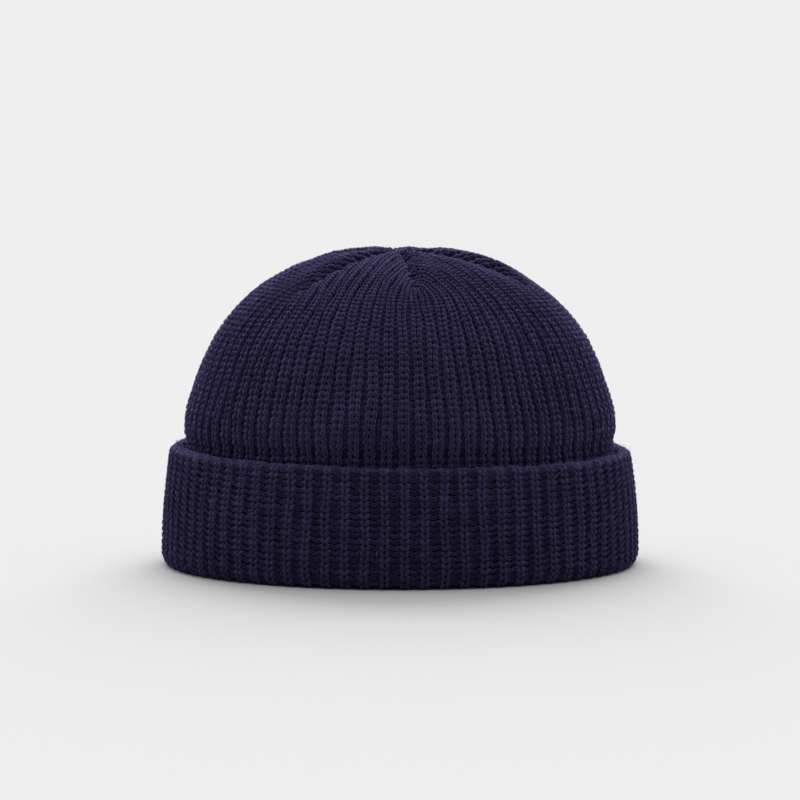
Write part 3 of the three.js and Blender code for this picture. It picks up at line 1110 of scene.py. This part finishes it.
def dressed(piece, *materials):
    toScene(piece)
    for material in materials:
        piece.data.materials.append(material)
    return piece


# Each piece, with the node that it stands for and its material slot
pieces = []
for index in range(len(panels)):
    name = f"crown_knit_{index + 1}"
    piece = knitPiece(name, crownStitches(index), crownStitch, crownShapes, yarns["crown"], 11 + index)
    pieces.append((piece, "crown", "crown_knit"))
print("crown stitches done")

cuffParts = 4
edges = [round(i * ribCount / cuffParts) for i in range(cuffParts + 1)]
for index, (first, last) in enumerate(zip(edges, edges[1:])):
    name = f"cuff_knit_{index + 1}"
    piece = knitPiece(name, cuffStitches(first, last), cuffStitch, cuffShapes, yarns["cuff"], 31 + index)
    pieces.append((piece, "cuff", "cuff_knit"))
print("cuff stitches done")

for make, node, slot, seed in ((crownFuzz, "crown", "crown_knit", 71), (cuffFuzz, "cuff", "cuff_knit", 72)):
    roots, outs = make()
    rng = np.random.default_rng(seed)
    extra = (fuzzForm["longest"] - fuzzForm["shortest"]) * rng.random(len(roots)) ** 2
    lengths = fuzzForm["shortest"] + extra
    fuzz = fibreMesh(node + "_fuzz", roots, outs, seed, lengths, fuzzForm["radius"])
    picked = rng.choice(len(roots), lintForm["count"], replace=False)
    lengths = rng.uniform(lintForm["shortest"], lintForm["longest"], len(picked))
    lint = fibreMesh(node + "_lint", roots[picked], outs[picked], seed + 10, lengths, lintForm["radius"])
    pieces.append((dressed(fuzz, yarns["fuzz"]), node, slot))
    pieces.append((dressed(lint, yarns["lint"]), node, slot))
print("loose fibres done")

for make, node, slot in ((crownBack, "crown", "crown_knit"), (cuffBack, "cuff", "cuff_knit")):
    pieces.append((dressed(make(), yarns["back"], yarns["inside"]), node, slot))
print("backing done")

for piece, node, slot in pieces:
    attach(piece, "root")
    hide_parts(node)
    print(piece.name, "faces", len(piece.data.polygons))

for shape in crownShapes + cuffShapes:   # the stitches' patterns aren't needed any more
    bpy.data.objects.remove(shape)


# Floor, light and camera. The ambient light's, key's and back light's levels on the floor add up to 1.
studio = {
    "floorHalf": 60,
    "floorGrey": 0.863,
    "bounceGrey": 0.35,          # what the floor throws back at the hat
    "ambient": 0.18,
    "keyTilt": math.radians(-12),
    "keySoftness": math.radians(75),
    "keyLevel": 0.39,            # its share of the floor's light
    "backTilt": math.radians(-58),
    "backSoftness": math.radians(60),
    "backLevel": 0.43,
    "backdrop": 0.863,
}


def makeFloor():
    half = studio["floorHalf"]
    corners = [(-half, -half, 0), (half, -half, 0), (half, half, 0), (-half, half, 0)]
    floor = toScene(plainObject("floor", corners, [(0, 1, 2, 3)]))
    material = bpy.data.materials.new("paleFloor")
    material.use_nodes = True
    tree = material.node_tree
    node = nodeMaker(tree)
    shader = setSockets(tree.nodes["Principled BSDF"], {"Roughness": 1, "Specular IOR Level": 0})
    path = node("ShaderNodeLightPath")
    greys = {"A": (studio["bounceGrey"],) * 3 + (1,), "B": (studio["floorGrey"],) * 3 + (1,)}
    grey = node("ShaderNodeMix", greys, data_type="RGBA")
    linkAll(tree, ((path, "Is Camera Ray", grey, "Factor"), (grey, "Result", shader, "Base Color")))
    floor.data.materials.append(material)


def makeWorld():
    world = bpy.data.worlds.new("studio")
    bpy.context.scene.world = world
    world.use_nodes = True
    tree = world.node_tree
    node = nodeMaker(tree)
    white = (1, 1, 1, 1)
    fill = setSockets(tree.nodes["Background"], {"Color": white, "Strength": studio["ambient"]})
    seen = node("ShaderNodeBackground", {"Color": white, "Strength": studio["backdrop"]})
    path = node("ShaderNodeLightPath")
    mix = node("ShaderNodeMixShader")
    linkAll(tree, (
        (path, "Is Camera Ray", mix, 0), (fill, 0, mix, 1),
        (seen, 0, mix, 2), (mix, 0, tree.nodes["World Output"], "Surface"),
    ))


def makeLamp(name):
    # A large soft light, tilted to come from behind the hat
    tilt = studio[name + "Tilt"]
    lamp = bpy.data.lights.new(name, "SUN")
    lamp.energy = studio[name + "Level"] * math.pi / math.cos(tilt)
    lamp.angle = studio[name + "Softness"]
    toScene(bpy.data.objects.new(name, lamp)).rotation_euler = (tilt, 0, 0)


view = {
    "distance": 1.5,
    "elevation": math.radians(4),
    "pixelsPerMetre": 2210,      # at the middle of the hat
    "imageSize": 800,
    "sensor": 36,
    "aim": (0, 0, 73.7 * mm),
}


def makeCamera():
    data = bpy.data.cameras.new("camera")
    data.sensor_width = view["sensor"]
    data.lens = view["sensor"] * view["pixelsPerMetre"] * view["distance"] / view["imageSize"]
    data.clip_end = 200
    camera = bpy.data.objects.new("camera", data)
    back = Vector((0, -math.cos(view["elevation"]), math.sin(view["elevation"])))
    camera.location = Vector(view["aim"]) + back * view["distance"]
    camera.rotation_euler = back.to_track_quat("Z", "Y").to_euler()
    bpy.context.scene.camera = toScene(camera)


makeFloor()
makeWorld()
makeLamp("key")
makeLamp("back")
makeCamera()
bpy.context.scene.view_settings.view_transform = "Standard"
print("stage done")
